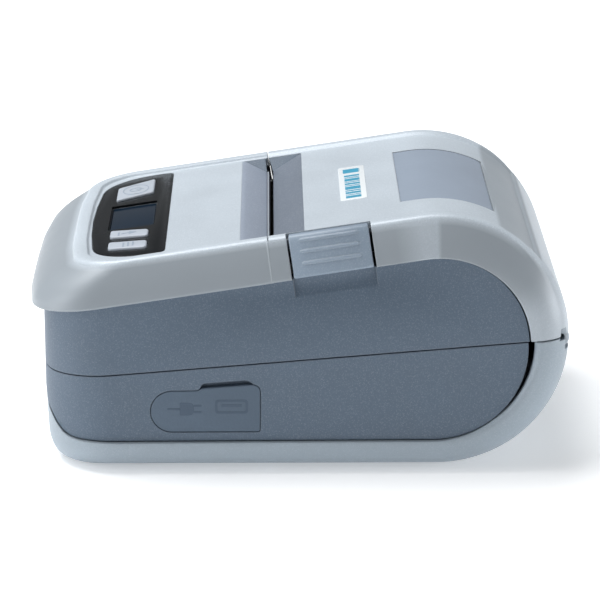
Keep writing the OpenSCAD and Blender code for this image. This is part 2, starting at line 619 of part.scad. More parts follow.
module latch_lever() color([0.48, 0.54, 0.60]) sloping() difference() {
    union() {
        translate([latch_x, latch_y1, latch_z]) rotate([90, 0, 0]) cylinder(r = 1.5, h = latch_y1 - latch_y0);
        translate([0, latch_y1, 0]) rotate([90, 0, 0]) linear_extrude(latch_y1 - latch_y0)
            polygon([[latch_x, roll_r - 0.05], [rim_x + 0.6, roll_r - 0.1], [rim_x + 2.7, 25.2],
                [half_w + 0.1, band_r + 0.6], [half_w - 0.2, band_r + 0.1], [half_w - 1.6, band_r + 0.1],
                [rim_x + 0.6, 25.2], [latch_x - 0.6, 27.2]]);
        for (i = [0:2]) translate([rim_x + 1.85 + 0.8 * i, 0, 27.2 - 2.2 * i]) rotate([90, 0, 0])
            translate([0, 0, 14]) cylinder(r = 0.8, h = 13.3);
        translate([0, -22.5, 0]) rotate([90, 0, 0]) linear_extrude(5.5)
            polygon([[latch_x - 1, 28], [latch_x - 2.6, 26.4], [35.9, 22.8], [35.9, 21.4], [37.4, 21.4],
                [latch_x + 0.4, 26.9]]);
    }
    translate([latch_x, latch_y1 + 1, latch_z]) rotate([90, 0, 0]) cylinder(r = 0.85, h = 22);
}

module latch_pin() color([0.75, 0.76, 0.78]) sloping()
    translate([latch_x, latch_y1 + 1.9, latch_z]) rotate([90, 0, 0]) cylinder(r = 0.8, h = 22.4);

module latch_spring() color([0.70, 0.71, 0.73]) sloping()
    translate([36.6, -16, 24.6]) spring(1.1, 0.22, 2.4, 4);

base_shell();
lower_body();
upper_body();
front_cover();
exit_guide();
tear_bar();
panel_overlay();
display_lens();
display_module();
power_button();
feed_button();
menu_button();
ui_board();
tact_switches();
mid_frame();
mechanism_frame();
head_pin();
head_springs();
head_heatsink();
print_head();
head_cable();
paper_guide();
paper_sensor();
stepper_motor();
motor_pinion();
idler_gear_a();
idler_gear_b();
gear_pins();
gear_cover();
driver_board();
board_connectors();
buzzer();
main_board();
battery_cradle();
battery_pack();
battery_contacts();
battery_door();
dc_jack();
usb_port();
port_flap();
paper_bucket();
case_screws();
feet();
hinge_pin();
lid_shell();
lid_window();
lid_liner();
lid_label();
lid_front_lip();
platen_carrier();
platen_bushes();
platen_shaft();
platen_rubber();
platen_gear();
latch_lever();
latch_pin();
latch_spring();
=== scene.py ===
import math
import bpy, bmesh
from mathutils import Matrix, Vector


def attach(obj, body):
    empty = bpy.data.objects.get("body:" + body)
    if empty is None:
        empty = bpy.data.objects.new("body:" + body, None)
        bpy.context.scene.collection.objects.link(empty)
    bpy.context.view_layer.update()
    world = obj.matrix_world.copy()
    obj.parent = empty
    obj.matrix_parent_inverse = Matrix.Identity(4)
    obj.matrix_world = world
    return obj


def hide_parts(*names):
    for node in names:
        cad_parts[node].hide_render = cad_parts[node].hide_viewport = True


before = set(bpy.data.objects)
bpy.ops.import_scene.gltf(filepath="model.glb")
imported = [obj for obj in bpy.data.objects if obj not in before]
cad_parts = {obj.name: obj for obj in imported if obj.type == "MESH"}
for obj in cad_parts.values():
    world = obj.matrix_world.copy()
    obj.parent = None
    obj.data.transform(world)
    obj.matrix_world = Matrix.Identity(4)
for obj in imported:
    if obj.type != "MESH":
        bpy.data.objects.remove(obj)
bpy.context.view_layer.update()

scene = bpy.context.scene
MM = 0.001
SLOPE = math.radians(8.6)
CS, SN = math.cos(SLOPE), math.sin(SLOPE)
RY, RZ, R = 31.7, 30.2, 29.8        # roll axis and the radius of the round end, in mm
TOP_ANGLE = 188.6                    # where the slope runs into the round end, about the roll axis
HINGE = (59.2, 31)                   # the lid's pin, as (y, z)
KNUCKLE_R, KNUCKLE_ROOM = 2.2, 2.6   # the hinge's knuckles and the room cut for them
FILM_TOP = R - 0.62                  # faces of the gloss panel and of the label


def seam(y):
    """Height of the seam between the dark bodies."""
    return 26.78 + 0.081 * y


# ---- Places ----
def sl(x, y, z):
    """From the frame of the sloping top: y up the slope, z above the roll axis."""
    return (x, RY + y * CS - z * SN, RZ + y * SN + z * CS)


def ro(x, r, a):
    """Round the roll axis: 0 is down, 90 the rear, 180 up."""
    a = math.radians(a)
    return (x, RY + r * math.sin(a), RZ - r * math.cos(a))


def side(y, z, x):
    """An outline seen from the side, level."""
    return (x, y, z)


def slside(y, z, x):
    """An outline seen from the side, in the slope's frame."""
    return sl(x, y, z)


def along(x, z, y):
    """An outline seen from the front, in the slope's frame."""
    return sl(x, y, z)


def flat(x, y, z):
    """An outline seen from above, level."""
    return (x, y, z)


def arc(cx, cy, r, a0, a1, n, ry=None):
    """Points of an arc in n steps; ry makes it a part of an ellipse."""
    ry = r if ry is None else ry
    return [(cx + r * math.cos(math.radians(a0 + (a1 - a0) * i / n)),
             cy + ry * math.sin(math.radians(a0 + (a1 - a0) * i / n))) for i in range(n + 1)]


def rounded(pts, r, n=6):
    """A polygon with its corners rounded; r may be a list, one per corner."""
    out, k = [], len(pts)
    for i, p in enumerate(pts):
        rr = r[i] if isinstance(r, (list, tuple)) else r
        p = Vector(p)
        a, b = (Vector(pts[i - 1]) - p), (Vector(pts[(i + 1) % k]) - p)
        if rr <= 0:
            out.append(tuple(p))
            continue
        d = min(rr, a.length * 0.49, b.length * 0.49)
        a, b = p + a.normalized() * d, p + b.normalized() * d
        for j in range(n + 1):
            t = j / n
            out.append(tuple(a * (1 - t) ** 2 + p * 2 * t * (1 - t) + b * t * t))
    return out


def both(pts):
    """A half outline and its mirror image."""
    return list(pts) + [(-x, y) for x, y in reversed(pts)]


def clean(pts):
    """Drops points that lie on the one before."""
    out = []
    for p in pts:
        if not out or math.dist(p, out[-1]) > 1e-4:
            out.append(p)
    if math.dist(out[0], out[-1]) < 1e-4:
        out.pop()
    return out


def plan(x, front, r, bow, rear, n=14):
    """Plan outline: straight sides, round front corners, bowed front, open ends at y = rear."""
    cy = front + bow + r
    half = [(x, rear)] + arc(x - r, cy, r, 0, -80, n)
    half += [(x * f, front + bow * f * f * 2.4 * 0.42) for f in (0.45, 0.3, 0.15)]
    return clean(both(half + [(0.001, front)]))


# ---- Meshes ----
def make(name, verts, faces):
    """A mesh object from points in mm."""
    me = bpy.data.meshes.new(name)
    me.from_pydata([Vector(v) * MM for v in verts], [], faces)
    bm = bmesh.new()
    bm.from_mesh(me)
    bmesh.ops.remove_doubles(bm, verts=bm.verts, dist=1e-7)
    bmesh.ops.recalc_face_normals(bm, faces=bm.faces)
    bm.to_mesh(me)
    bm.free()
    ob = bpy.data.objects.new(name, me)
    scene.collection.objects.link(ob)
    return ob


def shell(name, outer, inner):
    """A closed skin between two grids of points."""
    n, m = len(outer), len(outer[0])
    verts = [p for row in outer for p in row] + [p for row in inner for p in row]
    o = lambda i, j: i * m + j
    q = lambda i, j: n * m + i * m + j
    faces = []
    for i in range(n - 1):
        for j in range(m - 1):
            faces.append((o(i, j), o(i + 1, j), o(i + 1, j + 1), o(i, j + 1)))
            faces.append((q(i, j), q(i, j + 1), q(i + 1, j + 1), q(i + 1, j)))
        faces.append((o(i, 0), q(i, 0), q(i + 1, 0), o(i + 1, 0)))
        faces.append((o(i, m - 1), o(i + 1, m - 1), q(i + 1, m - 1), q(i, m - 1)))
    for j in range(m - 1):
        faces.append((o(0, j), o(0, j + 1), q(0, j + 1), q(0, j)))
        faces.append((o(n - 1, j), q(n - 1, j), q(n - 1, j + 1), o(n - 1, j + 1)))
    return make(name, verts, faces)


def loft(name, rings):
    """A closed solid through closed rings of equal length, capped at both ends."""
    m = len(rings[0])
    verts = [p for r in rings for p in r]
    faces = [tuple(range(m)), tuple(reversed(range((len(rings) - 1) * m, len(rings) * m)))]
    for i in range(len(rings) - 1):
        for j in range(m):
            k = (j + 1) % m
            faces.append((i * m + j, i * m + k, (i + 1) * m + k, (i + 1) * m + j))
    return make(name, verts, faces)


def prism(name, pts, a, b, place, ease=0.0, steps=3):
    """A polygon drawn with place(u, v, w) from w = a to b; ease rounds the far (b) edge."""
    pts = clean(pts)
    rings = [[place(x, y, a) for x, y in pts]]
    if ease:
        n = len(pts)
        area = sum(pts[i - 1][0] * pts[i][1] - pts[i][0] * pts[i - 1][1] for i in range(n))
        s = 1 if area > 0 else -1
        norm = []
        for i in range(n):
            d = Vector(pts[(i + 1) % n]) - Vector(pts[i - 1])
            norm.append(Vector((d.y, -d.x)).normalized() * s)
        sg = 1 if b > a else -1
        for k in range(steps + 1):
            t = math.radians(90 * k / steps)
            off, w = ease * (1 - math.cos(t)), b - sg * ease * (1 - math.sin(t))
            rings.append([place(p[0] - q.x * off, p[1] - q.y * off, w) for p, q in zip(pts, norm)])
    else:
        rings.append([place(x, y, b) for x, y in pts])
    return loft(name, rings)


def rod(name, y, z, r, x0, x1, bore=0, n=40, ease=0.15):
    """A round bar along x with eased ends, or a tube when it has a bore."""
    ring = lambda rr, x: [(x, y + rr * math.cos(2 * math.pi * i / n), z + rr * math.sin(2 * math.pi * i / n))
                          for i in range(n)]
    if not bore:
        return loft(name, [ring(r - ease, x0), ring(r, x0 + ease), ring(r, x1 - ease), ring(r - ease, x1)])
    rings = [ring(bore, x0), ring(r - ease, x0), ring(r, x0 + ease), ring(r, x1 - ease), ring(r - ease, x1),
             ring(bore, x1)]
    verts = [p for q in rings for p in q]
    faces = [(i * n + j, i * n + (j + 1) % n, ((i + 1) % 6) * n + (j + 1) % n, ((i + 1) % 6) * n + j)
             for i in range(6) for j in range(n)]
    return make(name, verts, faces)


def applied(ob):
    """Turns the piece's modifiers into mesh."""
    dg = bpy.context.evaluated_depsgraph_get()
    new = bpy.data.meshes.new_from_object(ob.evaluated_get(dg))
    ob.modifiers.clear()
    old, ob.data = ob.data, new
    bpy.data.meshes.remove(old)
    return ob


def boolean(ob, *cutters, op="DIFFERENCE"):
    """Cuts a piece with each cutter in turn and removes the cutters."""
    for c in cutters:
        m = ob.modifiers.new("cut", "BOOLEAN")
        m.operation, m.object, m.solver = op, c, "EXACT"
        applied(ob)
        bpy.data.objects.remove(c)
    return ob


def join(ob, *others):
    """Adds other closed solids to a piece's mesh as they are."""
    bm = bmesh.new()
    bm.from_mesh(ob.data)
    for o in others:
        bm.from_mesh(o.data)
        bpy.data.objects.remove(o)
    bm.to_mesh(ob.data)
    bm.free()
    return ob


def bevel(ob, width, segments, angle):
    """Rounds the edges sharper than an angle."""
    m = ob.modifiers.new("bevel", "BEVEL")
    m.width, m.segments, m.limit_method, m.angle_limit = width * MM, segments, "ANGLE", math.radians(angle)
    m.harden_normals = False
    return applied(ob)


def piece(ob, body, slot, *nodes, angle=34):
    """Finishes a mesh: shading smooth up to an angle, material, body and the CAD nodes it stands for."""
    me = ob.data
    me.materials.clear()
    me.materials.append(MATS[slot])
    me.shade_smooth()
    me.set_sharp_from_angle(angle=math.radians(angle))
    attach(ob, body)
    if nodes:
        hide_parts(*nodes)
    return ob


def toned(ob):
    """Paints shade on the leaning bands, half as much on the rear band that light from behind falls on, and
    on the field behind the window, as a point attribute.
    """
    me = ob.data
    # the per-point amount of painted shade
    at = me.attributes.new("tone", "FLOAT", "POINT")
    for i, v in enumerate(me.vertices):
        x, y, z = (c / MM for c in v.co)
        dy, dz = y - RY, z - RZ
        ys, zs = dy * CS + dz * SN, -dy * SN + dz * CS
        r = zs if ys < 0 else math.hypot(dy, dz)
        a = TOP_ANGLE if ys < 0 else math.degrees(math.atan2(dy, -dz))
        # painted shade on the bands below the rim, halved on the rear band, where light falls from behind
        fade = 1 - 0.5 * smooth((128 - a) / 22)
        t = smooth((R - r - 0.55) / 0.9) * fade
        # painted shade on the field behind the window, which faces away from the top light
        if abs(x) < 38 and 130 < a < 152.5 and r > R - 1.5:
            t = max(t, 0.78)
        at.data[i].value = t
    return ob


def block(name, a, b, place=flat):
    """A box between two corners."""
    return prism(name, [(a[0], a[1]), (b[0], a[1]), (b[0], b[1]), (a[0], b[1])], a[2], b[2], place)


# ---- Camera and light ----
cam_data = bpy.data.cameras.new("camera")
cam_data.sensor_width, cam_data.lens = 36.0, 179.18
cam_data.clip_start, cam_data.clip_end = 0.01, 50
camera = bpy.data.objects.new("camera", cam_data)
scene.collection.objects.link(camera)
el, az = math.radians(17.0), math.radians(0.6)
look = Vector((-math.cos(el) * math.cos(az), math.cos(el) * math.sin(az), -math.sin(el)))
camera.location = Vector((0, 1.0, 28.07)) * MM - look * 0.711
camera.rotation_mode = "QUATERNION"
camera.rotation_quaternion = look.to_track_quat("-Z", "Y")
scene.camera = camera
scene.view_settings.view_transform = "Standard"


def soft_light(name, place, aim, size, power):
    """A rectangular area light at a place in metres."""
    d = bpy.data.lights.new(name, "AREA")
    d.shape, d.size, d.size_y, d.energy = "RECTANGLE", size[0], size[1], power
    o = bpy.data.objects.new(name, d)
    o.location = place
    o.rotation_mode = "QUATERNION"
    o.rotation_quaternion = (Vector(aim) - Vector(place)).to_track_quat("-Z", "Y")
    scene.collection.objects.link(o)


soft_light("top_softbox", (-0.2, -0.35, 0.95), (0, 0, 0), (0.8, 0.8), 12.0)
soft_light("front_softbox", (0.25, -0.95, 0.35), (0, 0, 0.03), (0.5, 0.7), 4.2)
soft_light("rear_softbox", (0.1, 1.0, 0.12), (0, 0, 0.03), (0.6, 0.3), 4.2)
soft_light("camera_fill", (1.1, 0.0, 0.55), (0, 0, 0.03), (0.9, 0.7), 0.5)

world = bpy.data.worlds.new("studio")
scene.world = world
world.use_nodes = True
sky = world.node_tree.nodes["Background"]
sky.inputs[0].default_value = (0.95, 0.975, 1.0, 1)
sky.inputs[1].default_value = 0.2


# ---- Materials ----
def lin(rgb):
    """An 8-bit colour in linear light."""
    return tuple((c / 255 / 12.92) if c / 255 <= 0.04045 else ((c / 255 + 0.055) / 1.055) ** 2.4 for c in rgb)


class Nodes:
    """A new material's node tree, with short ways to add and link nodes."""

    def __init__(self, name):
        self.mat = bpy.data.materials.new(name)
        self.mat.use_nodes = True
        self.t = self.mat.node_tree
        self.p = self.t.nodes["Principled BSDF"]
        self.co = self.add("ShaderNodeTexCoord").outputs["Object"]

    def add(self, kind, **props):
        n = self.t.nodes.new(kind)
        for k, v in props.items():
            setattr(n, k, v)
        return n

    def link(self, a, b):
        self.t.links.new(a, b)

    def feed(self, socket, v):
        """Links an output to a socket, or sets a plain value."""
        if hasattr(v, "is_linked"):
            self.link(v, socket)
        else:
            socket.default_value = v

    def math(self, op, a, b):
        n = self.add("ShaderNodeMath", operation=op)
        for i, v in enumerate((a, b)):
            self.feed(n.inputs[i], v)
        return n.outputs[0]

    def noise(self, scale, detail=2.0, rough=0.5, stretch=None):
        n = self.add("ShaderNodeTexNoise")
        n.inputs["Scale"].default_value = scale
        n.inputs["Detail"].default_value = detail
        n.inputs["Roughness"].default_value = rough
        co = self.co
        if stretch:
            m = self.add("ShaderNodeMapping")
            m.inputs["Scale"].default_value = stretch
            self.link(co, m.inputs[0])
            co = m.outputs[0]
        self.link(co, n.inputs["Vector"])
        return n.outputs["Fac"]

    def range(self, v, a, b, c=0.0, d=1.0):
        n = self.add("ShaderNodeMapRange")
        self.link(v, n.inputs[0])
        for i, k in enumerate((a, b, c, d)):
            n.inputs[i + 1].default_value = k
        return n.outputs[0]

    def mix(self, fac, a, b):
        n = self.add("ShaderNodeMix", data_type="RGBA")
        self.feed(n.inputs[0], fac)
        for i, v in ((6, a), (7, b)):
            self.feed(n.inputs[i], (*v, 1) if isinstance(v, tuple) else v)
        return n.outputs[2]


def shade(c, k):
    """A colour made lighter or darker."""
    return tuple(min(1.0, v * k) for v in c)


def material(name, rgb, rough=0.5, grain=2200, bump=0.12, mottle=0.05, edge=0.25, round_mm=0.25,
             metallic=0.0, coat=0.0, coat_rough=0.1, flakes=0.0, spec=0.5, brushed=None, tone=False):
    """Grain, mottling, worn and softened edges, and where asked for flakes, a brushed grain, a coat or
    painted shade read from a point attribute.
    """
    rough_var = 0.08
    m = Nodes(name)
    p, base = m.p, lin(rgb)
    large = m.noise(70, 3)
    color = m.mix(m.range(large, 0.3, 0.7), shade(base, 1 - mottle), shade(base, 1 + mottle))
    fine = m.noise(grain, 2, 0.6, brushed)
    color = m.mix(m.range(fine, 0.35, 0.65, 0.0, 0.5), color, shade(base, 1 - mottle * 1.4))
    if flakes:
        v = m.add("ShaderNodeTexVoronoi", feature="F1")
        v.inputs["Scale"].default_value = 5200
        m.link(m.co, v.inputs["Vector"])
        s = m.add("ShaderNodeSeparateColor")
        m.link(v.outputs["Color"], s.inputs[0])
        color = m.mix(m.range(s.outputs[0], 0.72, 1.0, 0.0, flakes), color, (0.9, 0.95, 1.0))
        color = m.mix(m.range(s.outputs[1], 0.8, 1.0, 0.0, flakes), color, shade(base, 0.62))
    if tone:                          # painted shade: the bands and the field behind the window are darkened where less light falls on them
        at = m.add("ShaderNodeAttribute", attribute_name="tone")
        color = m.mix(at.outputs["Fac"], color, shade(base, 0.56))
    bev = m.add("ShaderNodeBevel", samples=4)
    bev.inputs["Radius"].default_value = round_mm * MM
    if edge:
        g = m.add("ShaderNodeNewGeometry")
        d = m.add("ShaderNodeVectorMath", operation="DOT_PRODUCT")
        m.link(bev.outputs[0], d.inputs[0])
        m.link(g.outputs["Normal"], d.inputs[1])
        worn = m.math("MULTIPLY", m.range(d.outputs["Value"], 0.985, 0.86, 0.0, edge),
                      m.range(large, 0.35, 0.6, 0.5, 1.0))
        color = m.mix(worn, color, shade(tuple(0.35 + 0.65 * c for c in base), 1.15))
    b = m.add("ShaderNodeBump")
    b.inputs["Strength"].default_value = bump
    b.inputs["Distance"].default_value = 0.00012
    m.link(fine, b.inputs["Height"])
    m.link(bev.outputs[0], b.inputs["Normal"])
    m.link(b.outputs[0], p.inputs["Normal"])
    m.link(color, p.inputs["Base Color"])
    m.link(m.range(large, 0.3, 0.7, rough - rough_var / 2, rough + rough_var / 2), p.inputs["Roughness"])
    p.inputs["Metallic"].default_value = metallic
    p.inputs["Specular IOR Level"].default_value = spec
    if coat:
        p.inputs["Coat Weight"].default_value = coat
        p.inputs["Coat Roughness"].default_value = coat_rough
    return m.mat


MATS = {}


def surface(name, *looks, **extras):
    MATS[name] = material(name, *looks, **extras)


surface("silver_plastic", (190, 200, 209), 0.42, 2600, 0.16, 0.03, 0.2, 0.35, 0.12, flakes=0.26)
# the shell's material takes its painted shade from the point attribute
surface("shell_plastic", (192, 202, 211), 0.42, 2600, 0.16, 0.03, 0.2, 0.35, 0.08, flakes=0.24, tone=True)
surface("lip_plastic", (106, 115, 128), 0.42, 2400, 0.15, 0.03, 0.2, 0.25, flakes=0.1)
surface("bar_steel", (138, 146, 156), 0.5, 1500, 0.1, 0.05, 0.1, 0.1, spec=0.3)
surface("dark_steel", (70, 74, 80), 0.5, 1500, 0.1, 0.05, 0.1, 0.1, 0.6)
surface("grey_trim", (152, 164, 174), 0.46, 2200, 0.2, 0.03, 0.22, 0.45, flakes=0.08)
surface("slate_plastic", (86, 102, 119), 0.52, 2000, 0.3, 0.045, 0.2, 0.35, flakes=0.06)
surface("latch_grey", (137, 152, 168), 0.4, 2200, 0.15, 0.03, 0.25, 0.35, flakes=0.08)
surface("flap_rubber", (90, 105, 121), 0.62, 1700, 0.35, 0.05, 0.12, 0.4, spec=0.35)
surface("smoke_window", (160, 174, 192), 0.18, 900, 0.02, 0.02, 0.15, 0.25, coat=0.6, coat_rough=0.05)
surface("panel_gloss", (8, 12, 16), 0.24, 1500, 0.02, 0.08, 0.12, 0.2, coat=0.05, coat_rough=0.05,
        spec=0.18)
surface("display_glass", (20, 36, 52), 0.16, 1200, 0.02, 0.06, 0.0, 0.15, coat=0.06,
        coat_rough=0.03, spec=0.2)
surface("display_dark", (24, 30, 36), 0.4, 1500, 0.1, 0.08, 0.1, 0.1)
surface("button_grey", (178, 186, 196), 0.4, 2200, 0.12, 0.03, 0.2, 0.35)
surface("label_white", (238, 244, 247), 0.32, 2600, 0.05, 0.015, 0.0, 0.1, coat=0.3)
surface("label_ink", (58, 152, 184), 0.4, 2600, 0.05, 0.04, 0.0, 0.05)
surface("mark_ink", (150, 163, 178), 0.5, 2600, 0.05, 0.04, 0.0, 0.05)
surface("funnel_plastic", (150, 160, 176), 0.42, 2400, 0.15, 0.03, 0.2, 0.25, flakes=0.15)
surface("flap_mark", (72, 88, 106), 0.6, 2000, 0.2, 0.04, 0.0, 0.05)
surface("black_plastic", (34, 37, 41), 0.5, 1800, 0.25, 0.08, 0.25, 0.2)
surface("bay_plastic", (88, 96, 104), 0.5, 1800, 0.25, 0.05, 0.2, 0.25)
surface("plated_steel", (190, 192, 194), 0.32, 900, 0.06, 0.05, 0.2, 0.12, 1.0, brushed=(1, 0.06, 1))
surface("pin_steel", (186, 188, 191), 0.24, 1600, 0.06, 0.05, 0.2, 0.1, 1.0, brushed=(0.05, 1, 1))
surface("spring_steel", (176, 178, 182), 0.3, 1800, 0.08, 0.08, 0.0, 0.05, 1.0)
surface("head_aluminium", (196, 198, 201), 0.38, 1200, 0.1, 0.06, 0.25, 0.15, 1.0, brushed=(0.08, 1, 1))
surface("head_ceramic", (214, 208, 196), 0.22, 1500, 0.04, 0.04, 0.1, 0.1, coat=0.4)
surface("gear_acetal", (232, 230, 222), 0.36, 2400, 0.08, 0.03, 0.1, 0.12)
surface("pinion_brass", (196, 164, 92), 0.28, 1500, 0.06, 0.08, 0.2, 0.1, 1.0)
surface("platen_rubber", (32, 32, 34), 0.72, 2600, 0.4, 0.1, 0.1, 0.2, spec=0.3)
surface("foot_rubber", (26, 27, 29), 0.78, 1800, 0.5, 0.12, 0.15, 0.3, spec=0.3)
surface("circuit_board", (26, 92, 58), 0.34, 1500, 0.06, 0.14, 0.1, 0.1, coat=0.4)
surface("connector_plastic", (226, 220, 204), 0.48, 2200, 0.15, 0.05, 0.15, 0.15)
surface("battery_wrap", (62, 92, 132), 0.34, 1400, 0.08, 0.06, 0.15, 0.4, coat=0.3)
surface("flex_film", (196, 128, 54), 0.26, 1600, 0.04, 0.06, 0.1, 0.05, coat=0.4)


# ---- Lid ----
def smooth(t):
    """Runs from 0 to 1 with a soft start and end."""
    t = max(0.0, min(1.0, t))
    return t * t * (3 - 2 * t)


def lerp(a, b, t):
    return a + (b - a) * t


def quarter(cx, rx, depth, ry, a0, a1, n):
    """Points of a rounded edge as (x, drop below the full radius)."""
    return arc(cx, -depth, rx, a0, a1, n, ry)


# Half sections of the lid from the middle to the edge, as (x, height over the full radius)
band_line = [(lerp(40.5, 44.02, t) + 0.42 * math.sin(math.pi * t), lerp(-0.95, -8.6, t)) for t in
             [i / 7 for i in range(8)]]
TOP_OUT = [(x, 0) for x in (0, 12, 24, 36.2, 36.6, 37.0, 37.35, 37.8, 39.2)] + \
          [(39.8, -0.1), (40.25, -0.42)] + band_line + \
          [(44.05, -8.85), (43.9, -9.05), (43.4, -9.1), (42.6, -9.1)]
SUNK = [-0.7, -0.7, -0.7, -0.7, -0.66, -0.4, -0.08] + [0] * 16
TOP_IN = [(x, -2.7) for x in (0, 12, 24, 35.6, 35.9, 36.2, 36.5, 36.9)] + \
         [(37.6, -2.75), (37.9, -2.85), (38.15, -3.1)] + \
         [(lerp(38.4, 42.0, t), lerp(-3.6, -8.6, t)) for t in [i / 7 for i in range(8)]] + \
         [(42.05, -8.9), (42.1, -9.05), (42.2, -9.1), (42.3, -9.1)]
REAR_OUT = [(0, 0), (12, 0), (24, 0)] + quarter(35.6, 7.9, 7.9, 7.9, 90, 6, 14) + \
           [(43.5, -8.3), (43.5, -8.8), (43.4, -9.05), (43.0, -9.1), (42.4, -9.1)]
REAR_IN = [(0, -2.2), (12, -2.2), (24, -2.2)] + quarter(35.6, 5.9, 7.9, 5.7, 90, 6, 14) + \
          [(41.5, -8.3), (41.6, -8.8), (41.8, -9.05), (42.0, -9.1), (42.2, -9.1)]
STATIONS = len(TOP_OUT)              # the other lists are as long


def across(row, place):
    """A half row of (x, height) from the middle outwards, placed in full from edge to edge."""
    return [place(-x, d) for x, d in reversed(row[1:])] + [place(x, d) for x, d in row]


def lid_rows():
    """Stations of the lid from its front to its rear seam: outer and inner rows of points."""
    outer, inner = [], []
    stops = [("run", y) for y in (-34.1, -31, -27, -22, -17, -11, -6)]
    angles = [TOP_ANGLE - 2.4 * i for i in range(23)]
    angles = [a for a in angles if a > 133] + [132.4, 131.6, 131.2, 130.8, 130.2] + \
             [128 - 2.4 * i for i in range(14)] + [94.2, 93.3]
    stops += [("arc", a) for a in angles]
    for kind, v in stops:
        a = TOP_ANGLE if kind == "run" else v
        m = smooth((150 - a) / 46)
        s = smooth((a - 130.4) / 1.4)
        place = (lambda x, r: sl(x, v, r)) if kind == "run" else (lambda x, r: ro(x, r, v))
        o, q = [], []
        for j in range(STATIONS):
            x = lerp(TOP_OUT[j][0], REAR_OUT[j][0], m)
            d = lerp(TOP_OUT[j][1], REAR_OUT[j][1], m) + SUNK[j] * s
            o.append((x, d))
            q.append((lerp(TOP_IN[j][0], REAR_IN[j][0], m), lerp(TOP_IN[j][1], REAR_IN[j][1], m)))
        outer.append(across([(x, R + d) for x, d in o], place))
        inner.append(across([(x, R + d) for x, d in q], place))
    return outer, inner


def window_strip(name, x, r0, r1, grow):
    """The window's curved field, 2x wide, between two radii."""
    rear, front, straight = 152.8 + grow / 0.5, TOP_ANGLE, 3.9 + grow
    n = 22
    up = [ro(0, r1, rear + (front - rear) * i / n)[1:] for i in range(n + 1)] + [sl(0, -straight, r1)[1:]]
    down = [sl(0, -straight, r0)[1:]] + [ro(0, r0, front + (rear - front) * i / n)[1:] for i in range(n + 1)]
    return prism(name, up + down, -x, x, side)


hinge_y = HINGE[0]
lid = shell("lid_skin", *lid_rows())
boolean(lid,
        window_strip("window_hole", 22.95, R - 4, R + 2, -0.15),
        block("latch_pocket", (37.6, -30.2, 15), (50, -11.1, 35), sl),
        block("front_corner", (40.3, -38, 15), (50, -29.9, 35), sl),
        block("slot_room", (-35.8, -40, 20), (35.8, -26, 33), sl),
        rod("knuckle_room_left", *HINGE, KNUCKLE_ROOM, -22, -7, ease=0.01),
        rod("knuckle_room_right", *HINGE, KNUCKLE_ROOM, 7, 22, ease=0.01),
        block("edge_over_left", (-22, hinge_y, 25), (-7, 63, 33.6)),
        block("edge_over_right", (7, hinge_y, 25), (22, 63, 33.6)),
        block("end_left", (-52, hinge_y + 0.01, 25), (-38.9, 63, 33.5)),
        block("end_right", (38.9, hinge_y + 0.01, 25), (52, 63, 33.5)))
join(lid, *[rod("knuckle", *HINGE, KNUCKLE_R, a + 0.3, b - 0.3, 1.05)
            for a, b in ((-39, -22), (-7, 7), (22, 39))])
# the lid's bands and the field behind its window get painted shade
piece(toned(lid), "lid", "shell_plastic", "lid_shell")

window = window_strip("window_pane", 22.75, R - 2.2, R - 0.86, 0.1)
piece(window, "lid", "smoke_window", "lid_window")

# ---- Front cover ----
def cover_rows():
    """Rows of the cover's outer and inner faces as (half width, front, corner radius, height)."""
    o = [(36.9, -76.3, 9.4, R - 0.72), (37.0, -76.4, 9.5, R - 0.5), (37.35, -76.75, 9.8, R - 0.1),
         (37.8, -77.2, 10.2, R), (39.2, -78.6, 11.3, R), (39.8, -79.2, 11.8, R - 0.1),
         (40.25, -79.75, 12.2, R - 0.42)]
    for i in range(11):
        t = i / 10
        o.append((lerp(40.5, 44.0, t) + 0.42 * math.sin(math.pi * t),
                  lerp(-80.1, -90.8, t) - 2.3 * math.sin(math.pi * t) ** 0.8, lerp(12.5, 15.5, t),
                  lerp(R - 0.95, 21.1, t)))
    o += [(44.03, -90.95, 15.5, 20.9), (43.9, -90.85, 15.4, 20.6), (43.5, -90.4, 15.1, 20.42),
          (42.6, -89.5, 14.5, 20.4)]
    q = []
    for k, (x, f, r, z) in enumerate(o):
        drop = 1.9 if k < 7 else (1.9 - 1.0 * (k - 6) / 11 if k < 18 else 0.0)
        q.append((min(x - 1.9, 42.3), max(f + 1.9, -89.2), max(r - 1.9, 6), max(z - drop, 20.4)))
    return o, q


REAR = -34.35
rows_out, rows_in = cover_rows()
cover = shell("front_cover_skin",
              [[sl(x, y, z) for x, y in plan(w, f, r, 1, REAR)] for w, f, r, z in rows_out],
              [[sl(x, y, z) for x, y in plan(w, f, r, 1, REAR)] for w, f, r, z in rows_in])
plate = prism("plate", plan(37.1, -76.5, 9.6, 1, REAR), R - 2.6, R - 0.7, sl)
panel = rounded(both([(35.3, -57.8), (35.3, -63.7), (34.6, -66.8), (33, -69.8), (31, -72), (28.5, -73.7),
                      (25, -74.7), (12, -75.6), (0.01, -75.9)]), [2.0] + [1.5] * 16 + [2.0], 4)
BUTTONS = {"power_button": [(-25.4, -71.1), (-14.2, -71.1), (-17.6, -62.1), (-29.7, -62.1)],
           "feed_button": [(12.9, -71.1), (18.4, -71.1), (20.8, -62.1), (15.6, -62.1)],
           "menu_button": [(22.6, -71.1), (27.9, -71.1), (30.5, -62.1), (25.0, -62.1)]}
DISPLAY = [(-10.5, -71.8), (10.5, -71.8), (10.5, -61.2), (-10.5, -61.2)]


def grown(pts, d):
    """A small outline moved outwards by a clearance."""
    cx, cy = sum(p[0] for p in pts) / len(pts), sum(p[1] for p in pts) / len(pts)
    return [(x + math.copysign(d, x - cx), y + math.copysign(d, y - cy)) for x, y in pts]


def panel_cutters(z0, z1, d):
    """Holes for the keys and the display, with a clearance."""
    out = [prism("hole", rounded(grown(p, d), 0.9), z0, z1, sl) for p in BUTTONS.values()]
    return out + [prism("hole", rounded(grown(DISPLAY, d), 0.5), z0, z1, sl)]


